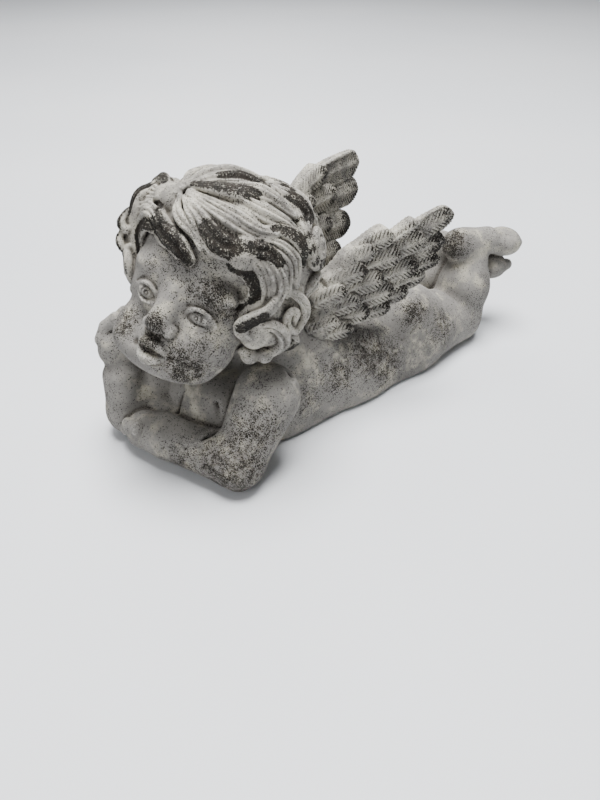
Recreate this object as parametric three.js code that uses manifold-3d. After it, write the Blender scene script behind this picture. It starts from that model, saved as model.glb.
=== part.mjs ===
// Reclining cherub figurine: a hollow cast resin body with two cast wings set into its back.
// Millimetres, +Z up. The figure lies on its belly with its head towards -Y and its feet
// towards +Y; its own left side is +X. The origin is under the middle of its overall box.
import * as THREE from "three";
import { mergeVertices } from "three/addons/utils/BufferGeometryUtils.js";
import Module from "manifold-3d";

const wasm = await Module();
wasm.setup();

// ---- driving dimensions ----
const FLOOR = 0; // the surface that the felt pads stand on
const PAD_THICKNESS = 1.2;
const PAD_RADIUS = 7.5;
const WALL = 6.5; // resin wall of the hollow body
const GAP = 0.35; // fitting gap between pieces that are glued together
const HEAD_TILT = 17; // degrees that the skull looks up from level
const FACE_TURN = 21; // degrees that the face turns to the figure's left
const FACE_TILT = 22; // degrees that it looks up from level
const FACE_ROLL = 12; // degrees that it tips over towards its left side

const FILL_HOLE_RADIUS = 9; // hole in the belly that the casting is drained through
const PLUG_FLANGE_RADIUS = 13;
const PLUG_FLANGE_THICKNESS = 2;
const PLUG_STEM_LENGTH = 9;
const PLUG_Y = -8;

const TENON_WIDTH = 13; // oval peg cast on each wing root
const TENON_HEIGHT = 8.5;
const TENON_LENGTH = 11;
const TENON_ROOT = 6; // how far the tenon runs up into the wing
const PIN_RADIUS = 1.5; // steel pin through the middle of each tenon
const PIN_IN_WING = 13;
const PIN_IN_BODY = 3; // how far the pin runs on past the tenon

const ROUND = 14; // facets round a limb or a ball
const UNDERSIDE = FLOOR + PAD_THICKNESS;

// ---- landmarks of the figure: x to its left, y towards its feet, z up ----
const v = (x, y, z) => new THREE.Vector3(x, y, z);
const SKULL = v(0, -88, 101);
const NECK = SKULL.clone().add(v(0, 16, -39));

// The trunk's three overlapping forms, which the hollow inside follows a wall's thickness in.
const CHEST = { centre: v(0, -61, 14), radii: [35, 52, 43] };
const BELLY = { centre: v(0, -10, 12), radii: [39, 56, 37] };
const HIPS = { centre: v(0, 32, 12), radii: [40, 35, 39] };
const SHOULDER_BLADES = { centre: v(0, -48, 44), radii: [26, 26, 15] };

// Height of the back above a point of the plan.
function onBack(x, y) {
  const heights = [CHEST, BELLY, HIPS, SHOULDER_BLADES].map(({ centre, radii: [rx, ry, rz] }) => {
    const inside = 1 - ((x - centre.x) / rx) ** 2 - ((y - centre.y) / ry) ** 2;
    return centre.z + rz * Math.sqrt(Math.max(0, inside));
  });
  return Math.max(...heights);
}

const LEFT_SHOULDER = v(33, -92, 40);
const LEFT_ELBOW = v(38, -117, 13.3);
const LEFT_WRIST = v(-2, -131, 14);
const LEFT_KNUCKLES = v(-21, -136, 13);

const RIGHT_SHOULDER = v(-32, -90, 40);
const RIGHT_ELBOW = v(-37, -132.6, 13.3);
const RIGHT_WRIST = v(-38, -134, 36);
const RIGHT_PALM = v(-41, -130, 52);
const RIGHT_FINGERTIPS = v(-39.5, -122, 71);

const LEFT_HIP = v(18, 38, 17);
const LEFT_KNEE = v(22, 82, 14);
const LEFT_ANKLE = v(20, 95, 55);
const LEFT_HEEL = v(16, 84, 63);
const LEFT_TOES = v(28, 122, 58);

const RIGHT_HIP = v(-18, 38, 17);
const RIGHT_KNEE = v(-19, 78, 14);
const RIGHT_ANKLE = v(2, 100, 47);
const RIGHT_HEEL = v(-6, 91, 52);
const RIGHT_TOES = v(23, 118, 41);

// ---- wings: each is laid out flat, x along the feathers and y up the blade ----
// The root is the left wing's. The right wing's is its mirror image.
const WING_ROOT = v(16, -40, onBack(16, -40) - 1);
const WING_SPREAD = 0.26; // how far a blade turns outward for each millimetre it runs back
const WING_LEAN = 0.03; // and for each millimetre it rises
const WINGS = {
  left: {
    side: 1,
    arm: [[4, -4], [8, 20], [25, 31]],
    tips: [[60, 40], [84, 46], [84, 34], [78, 22], [64, 14], [50, 8]],
  },
  right: {
    side: -1,
    arm: [[4, -4], [8, 28], [27, 50]],
    tips: [[64, 63], [90, 55], [86, 41], [76, 28], [66, 15], [52, 7]],
  },
};

function solid(geometry) {
  const g = (geometry.index ? geometry.toNonIndexed() : geometry).clone();
  g.deleteAttribute("normal");
  g.deleteAttribute("uv");
  const merged = mergeVertices(g, 1e-3);
  return new wasm.Manifold(
    new wasm.Mesh({
      numProp: 3,
      vertProperties: new Float32Array(merged.attributes.position.array),
      triVerts: new Uint32Array(merged.index.array),
    }),
  );
}

function geometryOf(shape) {
  const mesh = shape.getMesh();
  const g = new THREE.BufferGeometry();
  g.setAttribute("position", new THREE.BufferAttribute(mesh.vertProperties, 3));
  g.setIndex(new THREE.BufferAttribute(mesh.triVerts, 1));
  return g;
}

const union = (shapes) => shapes.reduce((a, b) => a.add(b));

const LEVEL = new THREE.Euler();

// An ellipsoid, turned by an Euler angle.
function ball(centre, radii, turn = LEVEL, facets = ROUND) {
  const g = new THREE.SphereGeometry(1, facets, Math.round(facets * 0.6));
  g.scale(...radii);
  g.applyMatrix4(new THREE.Matrix4().makeRotationFromEuler(turn));
  return solid(g.translate(centre.x, centre.y, centre.z));
}

// A limb segment: two balls and the cone that is tangent to both.
function limb(from, to, startRadius, endRadius, facets = ROUND) {
  const length = from.distanceTo(to);
  const lean = Math.asin((startRadius - endRadius) / length);
  const arcSteps = 3;
  const profile = [];
  for (let i = 0; i <= arcSteps; i++) {
    const a = -Math.PI / 2 + ((lean + Math.PI / 2) * i) / arcSteps;
    profile.push(new THREE.Vector2(startRadius * Math.cos(a), startRadius * Math.sin(a)));
  }
  for (let i = 0; i <= arcSteps; i++) {
    const a = lean + ((Math.PI / 2 - lean) * i) / arcSteps;
    profile.push(new THREE.Vector2(endRadius * Math.cos(a), length + endRadius * Math.sin(a)));
  }
  profile[0].x = 0;
  profile[profile.length - 1].x = 0;
  const g = new THREE.LatheGeometry(profile, facets);
  const along = to.clone().sub(from).normalize();
  g.applyQuaternion(new THREE.Quaternion().setFromUnitVectors(v(0, 1, 0), along));
  return solid(g.translate(from.x, from.y, from.z));
}

// A round or oval peg from one point to another, its width along `across`.
function peg(from, to, across, halfWidth, halfHeight, facets = ROUND) {
  const length = from.distanceTo(to);
  const g = new THREE.CylinderGeometry(1, 1, length, facets);
  g.scale(halfWidth, 1, halfHeight);
  const y = to.clone().sub(from).normalize();
  const x = across.clone().addScaledVector(y, -across.dot(y)).normalize();
  g.applyMatrix4(new THREE.Matrix4().makeBasis(x, y, x.clone().cross(y)));
  const middle = from.clone().lerp(to, 0.5);
  return solid(g.translate(middle.x, middle.y, middle.z));
}

function block(low, high) {
  const size = high.clone().sub(low);
  const middle = low.clone().lerp(high, 0.5);
  return solid(new THREE.BoxGeometry(...size).translate(middle.x, middle.y, middle.z));
}

// ---- the head's own axes: x to the figure's left, y forward, z up ----
const headTurn = new THREE.Euler(-THREE.MathUtils.degToRad(HEAD_TILT), 0, 0);
const onHead = (x, forward, up) => v(x, -forward, up).applyEuler(headTurn).add(SKULL);
const headBall = (x, forward, up, radii, facets) =>
  ball(onHead(x, forward, up), radii, headTurn, facets);

// ---- the face's own axes: it is turned to the figure's left and tipped towards that side ----
const FACE_CENTRE = SKULL.clone().add(v(-2, 0.4, -3));
const faceTurn = new THREE.Euler(
  ...[-FACE_TILT, FACE_ROLL, FACE_TURN].map(THREE.MathUtils.degToRad),
  "ZXY",
);
const onFace = (x, forward, up) => v(x, -forward, up).applyEuler(faceTurn).add(FACE_CENTRE);
const faceBall = (x, forward, up, radii, facets) =>
  ball(onFace(x, forward, up), radii, faceTurn, facets);

const EYE_X = 14.5;

function face() {
  const parts = [
    headBall(0, 2, 4, [37, 36, 38]), // skull
    faceBall(-3.5, 5.8, 3.2, [32.8, 31, 31]), // forehead
    faceBall(-3.5, 5.9, -13.9, [38, 30.3, 28]), // middle of the face
    faceBall(-3.5, 24.9, -45.1, [28, 17.5, 11], 12), // jaw
    faceBall(12.4, 22.1, -33.1, [16.7, 16.7, 16.7], 12), // left cheek
    faceBall(-18.5, 21.1, -38.6, [13.7, 13.7, 13.7], 12), // right cheek, pressed by the hand
    faceBall(0, 34, -38, [9, 8, 9], 8), // muzzle
    faceBall(0, 42, -26, [5.5, 4.8, 4.6], 8), // tip of the nose
    limb(onFace(0, 35, -12), onFace(0, 40, -24), 3.5, 4.5, 8),
  ];
  for (const side of [-1, 1]) {
    parts.push(faceBall(side * EYE_X, 29.5, -7, [11, 6, 5], 8)); // brow
    parts.push(faceBall(side * EYE_X, 30, -18, [8.5, 7.6, 6], 8)); // eye
    parts.push(faceBall(side * 5.2, 39.5, -28, [3.3, 3.8, 3], 6)); // wing of the nose
  }
  return union(parts);
}

// Curls in rings round the crown, each a flattened ball that leans on the hair cap.
const CURL_RINGS = [
  { count: 5, up: 31, reach: 18, radius: 13 },
  { count: 8, up: 19, reach: 33, radius: 13 },
  { count: 7, up: -1, reach: 38, radius: 12.5 },
  { count: 6, up: -20, reach: 35, radius: 11.5 },
];
const TEMPLE_CURL = [33, 24, 6]; // to the side, forward and up, on both sides of the forehead
const TEMPLE_RADIUS = 13;
const CURL_FACETS = 8;
const FACE_OPENING = 75; // degrees each side of straight ahead that the lower rings leave bare

function hair(grow = 0) {
  const cap = headBall(0, -6, 8, [41 + grow, 39 + grow, 37 + grow]);
  const [beside, forward, above] = TEMPLE_CURL;
  const curls = [-1, 1].map((side) =>
    headBall(side * beside, forward, above, Array(3).fill(TEMPLE_RADIUS + grow), CURL_FACETS),
  );
  CURL_RINGS.forEach(({ count, up, reach, radius }, ring) => {
    const bare = ring < 2 ? 0 : FACE_OPENING;
    const span = 360 - 2 * bare;
    const step = bare ? span / (count - 1) : span / count;
    for (let i = 0; i < count; i++) {
      const a = THREE.MathUtils.degToRad(bare + i * step);
      curls.push(
        headBall(
          reach * Math.sin(a),
          reach * Math.cos(a) * (ring < 2 ? 0.86 : 1) - 5,
          up,
          [radius + grow, radius + grow, radius * 0.8 + grow],
          CURL_FACETS,
        ),
      );
    }
  });
  return union([cap, ...curls]);
}

// Trunk, arms and legs. `grow` swells every form, for cutting a clearance round them.
function trunk(grow = 0) {
  const r = (radii) => radii.map((x) => x + grow);
  return union([
    ...[CHEST, BELLY, HIPS, SHOULDER_BLADES].map(({ centre, radii }) => ball(centre, r(radii))),
    ball(v(17, 34, 33), r([20, 24, 19])), // left buttock
    ball(v(-17, 34, 33), r([20, 24, 19])), // right buttock
    limb(v(0, -62, 42), NECK.clone().add(v(0, -6, 12)), 21 + grow, 22 + grow),
  ]);
}

function arms() {
  return union([
    limb(LEFT_SHOULDER, LEFT_ELBOW, 18, 14.5),
    limb(LEFT_ELBOW, LEFT_WRIST, 14.5, 11),
    limb(LEFT_WRIST, LEFT_KNUCKLES, 10.5, 8.5),
    limb(RIGHT_SHOULDER, RIGHT_ELBOW, 17, 14.5),
    limb(RIGHT_ELBOW, RIGHT_WRIST, 14.5, 10),
    limb(RIGHT_WRIST, RIGHT_PALM, 10, 9.5),
    limb(RIGHT_PALM, RIGHT_FINGERTIPS, 9, 4.5),
  ]);
}

// One lower leg and foot, with its five toes.
function lowerLeg(knee, ankle, heel, toes, side) {
  const across = v(side, 0, 0);
  const toeRow = [0, 1, 2, 3, 4].map((i) => {
    const at = toes.clone().addScaledVector(across, (i - 2) * 4.2 + 1);
    at.y += 3 - Math.abs(i - 1) * 1.1;
    return ball(at, [i === 0 ? 3.6 : 2.9, 5, i === 0 ? 4 : 3.2], LEVEL, 6);
  });
  return union([
    limb(knee, ankle, 17, 9.5),
    limb(heel, toes, 9.5, 7.5),
    ball(heel, [8.5, 9, 9]),
    ball(toes, [11, 9, 6.5]),
    ...toeRow,
  ]);
}

function legs() {
  return union([
    limb(LEFT_HIP, LEFT_KNEE, 24, 18.5),
    limb(RIGHT_HIP, RIGHT_KNEE, 24, 18.5),
    lowerLeg(LEFT_KNEE, LEFT_ANKLE, LEFT_HEEL, LEFT_TOES, 1),
    lowerLeg(RIGHT_KNEE, RIGHT_ANKLE, RIGHT_HEEL, RIGHT_TOES, -1),
  ]);
}

// The hollow that is left when the casting is drained. It ends a wall above the underside.
function cavity() {
  const inner = (radii) => radii.map((x) => x - WALL);
  const facets = 10;
  const hollows = [CHEST, BELLY, HIPS].map(({ centre, radii }) =>
    ball(centre, inner(radii), LEVEL, facets),
  );
  return union([
    headBall(0, 2, 4, inner([37, 36, 38]), facets),
    headBall(0, 8, -26, inner([28, 24, 23]), facets),
    limb(NECK.clone().add(v(0, -4, 8)), CHEST.centre, 21 - WALL, 26 - WALL, facets),
    ...hollows,
  ]).subtract(block(v(-300, -300, -60), v(300, 300, UNDERSIDE + WALL)));
}

// ---- wings ----
const SEAT = v(17, -34, onBack(17, -34) - 1); // where the left tenon enters the back
const SEAT_OUT = v(0.096, -0.17, 0.981); // the way the left wing lifts off
const FEATHER_ROWS = [
  { reach: 1, width: 17, thick: 3.6 }, // long feathers at the edge of the blade
  { reach: 0.68, width: 15, thick: 5.4 },
  { reach: 0.4, width: 15, thick: 7.2 }, // short ones over the arm
];
const ARM_RADII = [8, 6, 4.5];

const toSide = (point, side) => v(point.x * side, point.y, point.z);

// The point a share of the way along a list of flat points.
function alongArm(arm, share) {
  const at = share * (arm.length - 1);
  const i = Math.min(arm.length - 2, Math.floor(at));
  return new THREE.Vector2(...arm[i]).lerp(new THREE.Vector2(...arm[i + 1]), at - i);
}

// A flat feather from base to tip, rounded at the tip.
function feather(base, tip, width, thick) {
  const length = base.distanceTo(tip);
  const w = width / 2;
  const outline = new THREE.Shape();
  outline.moveTo(-length, -w * 0.45);
  outline.quadraticCurveTo(-length * 0.4, -w * 1.2, -w * 0.7, -w * 0.8);
  outline.quadraticCurveTo(0, -w * 0.6, 0, 0);
  outline.quadraticCurveTo(0, w * 0.6, -w * 0.7, w * 0.8);
  outline.quadraticCurveTo(-length * 0.4, w * 1.2, -length, w * 0.45);
  const extrusion = { depth: thick, curveSegments: 3, bevelEnabled: false };
  const g = new THREE.ExtrudeGeometry(outline, extrusion);
  g.translate(0, 0, -thick / 2);
  g.rotateZ(Math.atan2(tip.y - base.y, tip.x - base.x));
  return g.translate(tip.x, tip.y, 0);
}

function blade({ arm, tips }) {
  const feathers = FEATHER_ROWS.flatMap(({ reach, width, thick }) =>
    tips.map((point, i) => {
      const base = alongArm(arm, 1 - i / (tips.length - 1));
      const tip = base.clone().lerp(new THREE.Vector2(...point), reach);
      const lift = (i % 2 ? 0.45 : -0.45) * (reach < 1 ? 1 : 0.8);
      return solid(feather(base, tip, width, thick).translate(0, 0, lift));
    }),
  );
  const flesh = arm.slice(1).map((to, i) =>
    limb(v(...arm[i], 0), v(...to, 0), ARM_RADII[i], ARM_RADII[i + 1], 10),
  );
  return union([...feathers, ...flesh]);
}

function onWing(shape, side) {
  const x = v(side * WING_SPREAD, 1, 0).normalize();
  const up = v(side * WING_LEAN, 0, 1);
  const y = up.addScaledVector(x, -up.dot(x)).normalize();
  const basis = new THREE.Matrix4().makeBasis(x, y, x.clone().cross(y));
  return solid(geometryOf(shape).applyMatrix4(basis.setPosition(toSide(WING_ROOT, side))));
}

const seatPoint = (side, distance) =>
  toSide(SEAT.clone().addScaledVector(SEAT_OUT, distance / SEAT_OUT.length()), side);
const BACKWARD = v(0, 1, 0);
const tenon = (side, grow) =>
  peg(
    seatPoint(side, -TENON_LENGTH - grow),
    seatPoint(side, TENON_ROOT),
    BACKWARD,
    TENON_WIDTH / 2 + grow,
    TENON_HEIGHT / 2 + grow,
  );
const pin = (side, grow) =>
  peg(
    seatPoint(side, -TENON_LENGTH - PIN_IN_BODY - grow),
    seatPoint(side, PIN_IN_WING + grow),
    BACKWARD,
    PIN_RADIUS + grow,
    PIN_RADIUS + grow,
    12,
  );

function wing(plan) {
  return onWing(blade(plan), plan.side)
    .subtract(trunk(GAP))
    .subtract(hair(GAP))
    .add(tenon(plan.side, 0))
    .subtract(pin(plan.side, GAP));
}

// ---- the body: everything that is cast in one mould ----
const plugHole = (radius, top) =>
  peg(v(0, PLUG_Y, FLOOR - 5), v(0, PLUG_Y, top), v(1, 0, 0), radius, radius, 28);

function bodyCasting() {
  const outside = union([trunk(), arms(), legs(), face(), hair()]);
  const sides = Object.values(WINGS).map(({ side }) => side);
  const bosses = sides.map((side) =>
    peg(
      seatPoint(side, -TENON_LENGTH - PIN_IN_BODY - WALL),
      seatPoint(side, 0),
      BACKWARD,
      TENON_WIDTH / 2 + WALL,
      TENON_HEIGHT / 2 + WALL,
    ),
  );
  const sockets = sides.map((side) => tenon(side, GAP).add(pin(side, GAP)));
  const below = block(v(-300, -300, -60), v(300, 300, UNDERSIDE));
  return outside
    .subtract(cavity().subtract(union(bosses)))
    .subtract(below)
    .subtract(union(sockets))
    .subtract(plugHole(FILL_HOLE_RADIUS, UNDERSIDE + WALL + 8))
    .subtract(plugHole(PLUG_FLANGE_RADIUS + GAP, UNDERSIDE + PLUG_FLANGE_THICKNESS));
}

function plug() {
  const across = v(1, 0, 0);
  const up = (z) => v(0, PLUG_Y, UNDERSIDE + z);
  const flangeTop = PLUG_FLANGE_THICKNESS - GAP;
  const stem = FILL_HOLE_RADIUS - GAP;
  return peg(up(0), up(flangeTop), across, PLUG_FLANGE_RADIUS, PLUG_FLANGE_RADIUS, 28).add(
    peg(up(flangeTop / 2), up(PLUG_STEM_LENGTH), across, stem, stem, 28),
  );
}

// ---- the finished object ----
const resin = new THREE.MeshStandardMaterial({ color: 0xa9a59e, roughness: 0.85, metalness: 0 });
const steel = new THREE.MeshStandardMaterial({ color: 0xa8abae, roughness: 0.35, metalness: 1 });
const rubber = new THREE.MeshStandardMaterial({ color: 0x2c2b2a, roughness: 0.9, metalness: 0 });
const felt = new THREE.MeshStandardMaterial({ color: 0x4b4038, roughness: 1, metalness: 0 });

const figurine = new THREE.Group();
function place(name, shape, material) {
  const mesh = new THREE.Mesh(geometryOf(shape), material);
  mesh.name = name;
  figurine.add(mesh);
}

place("body_casting", bodyCasting(), resin);
for (const [name, plan] of Object.entries(WINGS)) {
  place("wing_" + name, wing(plan), resin);
  place("wing_pin_" + name, pin(plan.side, 0), steel);
}
place("belly_plug", plug(), rubber);

const PADS = {
  elbow_pad_left: LEFT_ELBOW,
  elbow_pad_right: RIGHT_ELBOW,
  knee_pad_left: LEFT_KNEE,
  knee_pad_right: RIGHT_KNEE,
};
for (const [name, over] of Object.entries(PADS)) {
  const bottom = v(over.x, over.y, FLOOR);
  const top = v(over.x, over.y, UNDERSIDE);
  place(name, peg(bottom, top, v(1, 0, 0), PAD_RADIUS, PAD_RADIUS, 28), felt);
}

// The origin goes under the middle of the overall box.
const box = new THREE.Box3().setFromObject(figurine, true);
const middle = box.getCenter(new THREE.Vector3());
for (const mesh of figurine.children) mesh.position.set(-middle.x, -middle.y, 0);

export default figurine;
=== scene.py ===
import itertools
import math

import bpy
import numpy as np
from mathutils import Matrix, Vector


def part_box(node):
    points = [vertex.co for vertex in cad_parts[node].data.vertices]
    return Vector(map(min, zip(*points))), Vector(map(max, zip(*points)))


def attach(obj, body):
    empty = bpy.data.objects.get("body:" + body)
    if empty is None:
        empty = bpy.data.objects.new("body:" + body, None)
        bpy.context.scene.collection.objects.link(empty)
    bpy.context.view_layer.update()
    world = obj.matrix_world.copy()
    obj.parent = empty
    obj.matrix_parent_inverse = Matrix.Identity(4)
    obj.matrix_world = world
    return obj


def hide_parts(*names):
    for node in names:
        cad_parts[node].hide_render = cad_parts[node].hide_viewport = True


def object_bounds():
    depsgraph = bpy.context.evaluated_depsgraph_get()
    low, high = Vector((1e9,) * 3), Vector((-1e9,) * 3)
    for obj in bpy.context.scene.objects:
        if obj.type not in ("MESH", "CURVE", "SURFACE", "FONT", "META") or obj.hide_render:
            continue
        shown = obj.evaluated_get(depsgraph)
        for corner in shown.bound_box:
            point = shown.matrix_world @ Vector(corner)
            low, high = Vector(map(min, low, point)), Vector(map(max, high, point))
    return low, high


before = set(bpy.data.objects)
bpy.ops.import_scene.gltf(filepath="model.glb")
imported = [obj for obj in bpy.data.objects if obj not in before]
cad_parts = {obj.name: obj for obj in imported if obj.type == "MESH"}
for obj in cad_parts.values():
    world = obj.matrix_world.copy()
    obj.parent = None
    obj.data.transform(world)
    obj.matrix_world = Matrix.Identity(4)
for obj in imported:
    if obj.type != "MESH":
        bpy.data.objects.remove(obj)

import openvdb
from mathutils import Vector

CAD_LOW, CAD_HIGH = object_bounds()
MM = 0.001
BODY_STEP = 0.55  # grid spacing of the body's clay, in mm
WING_STEP = 0.45  # and of a wing's


def vec(*values):
    return np.array(values, float)


# ---- landmarks of the figure, in its own axes ----
LEFT_ELBOW = vec(38, -117, 13.3)
LEFT_SHOULDER = vec(33, -92, 40)
LEFT_WRIST = vec(-2, -131, 14)
LEFT_KNUCKLES = vec(-17, -136, 12.5)
RIGHT_SHOULDER = vec(-32, -90, 40)
RIGHT_ELBOW = vec(-37, -132, 13.3)
RIGHT_WRIST = vec(-38, -134, 36)
RIGHT_PALM = vec(-41, -130, 52)
SKULL = vec(0, -88, 101)
HEAD_TILT = math.radians(17)
LEFT_HIP = vec(18, 38, 17)
LEFT_KNEE = vec(22, 82, 14)
LEFT_ANKLE = vec(20, 95, 55)
LEFT_HEEL = vec(16, 85, 62)
LEFT_TOES = vec(28, 121, 58)
RIGHT_HIP = vec(-18, 38, 17)
RIGHT_KNEE = vec(-19, 78, 14)
RIGHT_ANKLE = vec(2, 100, 47)
RIGHT_HEEL = vec(-6, 91, 52)
RIGHT_TOES = vec(23, 117, 41)

# The figure's axes are the frame's, moved so that the left elbow is over its felt pad.
PAD_LOW, PAD_HIGH = (np.array(corner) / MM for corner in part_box("elbow_pad_left"))
OFFSET = (PAD_LOW + PAD_HIGH) / 2 - LEFT_ELBOW
OFFSET[2] = 0.0
UNDERSIDE = PAD_HIGH[2]  # the casting is cut flat where the pads are glued on


def to_frame(point):
    return Vector((np.array(point, float) + OFFSET) * MM)


# ---- camera ----
CAMERA_AZIMUTH = math.radians(47)
CAMERA_PITCH = math.radians(37)
CAMERA_PLACE = vec(246, -268, 245)
SENSOR = 36.0
LENS = 30.6


def make_camera():
    data = bpy.data.cameras.new("camera")
    data.sensor_width = SENSOR
    data.lens = LENS
    data.clip_start = 0.01
    camera = bpy.data.objects.new("camera", data)
    camera.location = to_frame(CAMERA_PLACE)
    camera.rotation_euler = (math.pi / 2 - CAMERA_PITCH, 0, CAMERA_AZIMUTH)
    bpy.context.collection.objects.link(camera)
    bpy.context.scene.camera = camera


make_camera()

# ---- clay: signed distances on a regular grid, negative inside ----
FAR = 6.0  # distances are kept up to this many mm
SEGMENT_MARGIN = 4.0  # how far round a segment of a strand its distance is worked out
WORLD_AXES = np.eye(3)


def smooth_min(a, b, blend):
    if blend <= 0:
        return np.minimum(a, b)
    near = np.maximum(blend - np.abs(a - b), 0.0) / blend
    return np.minimum(a, b) - near * near * (blend / 4)


class Clay:
    def __init__(self, low, high, step):
        self.low = vec(*low)
        self.step = step
        counts = np.ceil((vec(*high) - self.low) / step).astype(int) + 1
        self.axes = [(self.low[i] + step * np.arange(counts[i])).astype(np.float32) for i in range(3)]
        self.field = np.full(counts, FAR, np.float32)

    @classmethod
    def like(cls, other):
        """An empty clay on another one's grid."""
        clay = cls.__new__(cls)
        clay.low, clay.step, clay.axes = other.low, other.step, other.axes
        clay.field = np.full(other.field.shape, FAR, np.float32)
        return clay

    def window(self, shape, margin):
        spans = []
        for axis, low, high in zip(self.axes, shape.low - margin, shape.high + margin):
            first = min(int(np.searchsorted(axis, low)), len(axis) - 1)
            spans.append(slice(first, max(first + 1, int(np.searchsorted(axis, high)))))
        x, y, z = (axis[span] for axis, span in zip(self.axes, spans))
        return tuple(spans), (x[:, None, None], y[None, :, None], z[None, None, :])

    def add(self, shape, blend=0.0):
        spans, place = self.window(shape, blend + 3)
        distance = shape.distance(place).astype(np.float32)
        self.field[spans] = smooth_min(self.field[spans], distance, blend)

    def carve(self, shape, blend=0.0):
        spans, place = self.window(shape, blend + 3)
        distance = shape.distance(place).astype(np.float32)
        self.field[spans] = -smooth_min(-self.field[spans], distance, blend)

    def join(self, other, blend):
        self.field = smooth_min(self.field, other.field, blend)

    def mesh(self):
        """Vertices in mm, and quads, of the surface."""
        grid = openvdb.FloatGrid(FAR)
        grid.copyFromArray(np.clip(self.field, -FAR, FAR))
        points, quads = outer_shell(*grid.convertToQuads(0.0))
        return self.low + points * self.step, quads

    def sample(self, field, points):
        """The field between the grid's points."""
        at = (points - self.low) / self.step
        limit = np.array(field.shape) - 2
        corner = np.clip(np.floor(at).astype(int), 0, limit)
        part = np.clip(at - corner, 0, 1)
        total = np.zeros(len(points))
        for shift in itertools.product((0, 1), repeat=3):
            weight = np.abs(1 - np.array(shift) - part).prod(1)
            total += weight * field[tuple((corner + shift).T)]
        return total

    def relief(self, reach):
        """How far the surface stands out of its own surroundings, in mm, within this reach."""
        field = np.clip(self.field, -reach, reach)
        width = max(1, round(reach / self.step / 2))
        for axis in range(3):
            for _ in range(2):
                field = running_mean(field, width, axis)
        return field


def outer_shell(points, quads):
    """The largest connected surface, without the bubbles that forms close in between them."""
    quads = quads.astype(np.int64)
    label = np.arange(len(points))
    settled = False
    while not settled:
        lowest = label.copy()
        np.minimum.at(lowest, quads.ravel(), np.repeat(label[quads].min(1), 4))
        lowest = lowest[lowest]
        settled = np.array_equal(lowest, label)
        label = lowest
    kept = label == np.bincount(label).argmax()
    number = np.cumsum(kept) - 1
    return points[kept], number[quads[kept[quads[:, 0]]]]


def running_mean(field, width, axis):
    size = 2 * width + 1
    pad = [(0, 0)] * 3
    pad[axis] = (width + 1, width)
    total = np.cumsum(np.pad(field, pad, mode="edge"), axis=axis, dtype=np.float32)
    count = field.shape[axis]
    upper = np.take(total, np.arange(size, size + count), axis=axis)
    lower = np.take(total, np.arange(0, count), axis=axis)
    return (upper - lower) / size


def offsets(place, centre):
    """The grid axes of a place, measured from a point."""
    return [p - c for p, c in zip(place, centre)]


def dot(axis, parts):
    return sum(a * p for a, p in zip(axis, parts))


def ellipsoid_distance(parts, radii):
    """Distance to an ellipsoid from offsets along its axes; exact at the surface."""
    outer = np.sqrt(sum((p / r) ** 2 for p, r in zip(parts, radii)))
    inner = np.sqrt(sum((p / (r * r)) ** 2 for p, r in zip(parts, radii)))
    return outer * (outer - 1) / np.maximum(inner, 1e-6)


class Ball:
    """An ellipsoid along the given axes."""

    def __init__(self, centre, radii, axes=WORLD_AXES):
        self.centre = vec(*centre)
        self.radii = vec(*(radii if np.ndim(radii) else [radii] * 3))
        self.axes = axes
        reach = np.sqrt(((axes * self.radii[:, None]) ** 2).sum(0))
        self.low = self.centre - reach
        self.high = self.centre + reach

    def distance(self, place):
        away = offsets(place, self.centre)
        return ellipsoid_distance([dot(axis, away) for axis in self.axes], self.radii)


class Limb:
    """A cone with round ends."""

    def __init__(self, start, end, start_radius, end_radius):
        self.start = vec(*start)
        self.end = vec(*end)
        self.radii = (start_radius, end_radius)
        self.low = np.minimum(self.start - start_radius, self.end - end_radius)
        self.high = np.maximum(self.start + start_radius, self.end + end_radius)

    def distance(self, place):
        r1, r2 = self.radii
        along = self.end - self.start
        length2 = along @ along
        slope = r1 - r2
        wide2 = length2 - slope * slope
        away = offsets(place, self.start)
        y = dot(along, away)
        z = y - length2
        x2 = sum((d * length2 - a * y) ** 2 for a, d in zip(along, away))
        y2 = y * y * length2
        z2 = z * z * length2
        k = np.sign(slope) * slope * slope * x2
        at_end = np.sqrt(x2 + z2) / length2 - r2
        at_start = np.sqrt(x2 + y2) / length2 - r1
        beside = (np.sqrt(x2 * wide2 / length2) + y * slope) / length2 - r1
        result = np.where(np.sign(y) * wide2 * y2 < k, at_start, beside)
        return np.where(np.sign(z) * wide2 * z2 > k, at_end, result)


def cut_out(place, low, high):
    """The part of some grid axes that lies between two corners, or nothing."""
    spans = []
    parts = []
    for i, axis in enumerate(place):
        values = axis.ravel()
        first, last = np.searchsorted(values, (low[i], high[i]))
        if first == last:
            return None, None
        spans.append(slice(first, last))
        parts.append(values[first:last].reshape([-1 if j == i else 1 for j in range(3)]))
    return tuple(spans), parts


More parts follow.
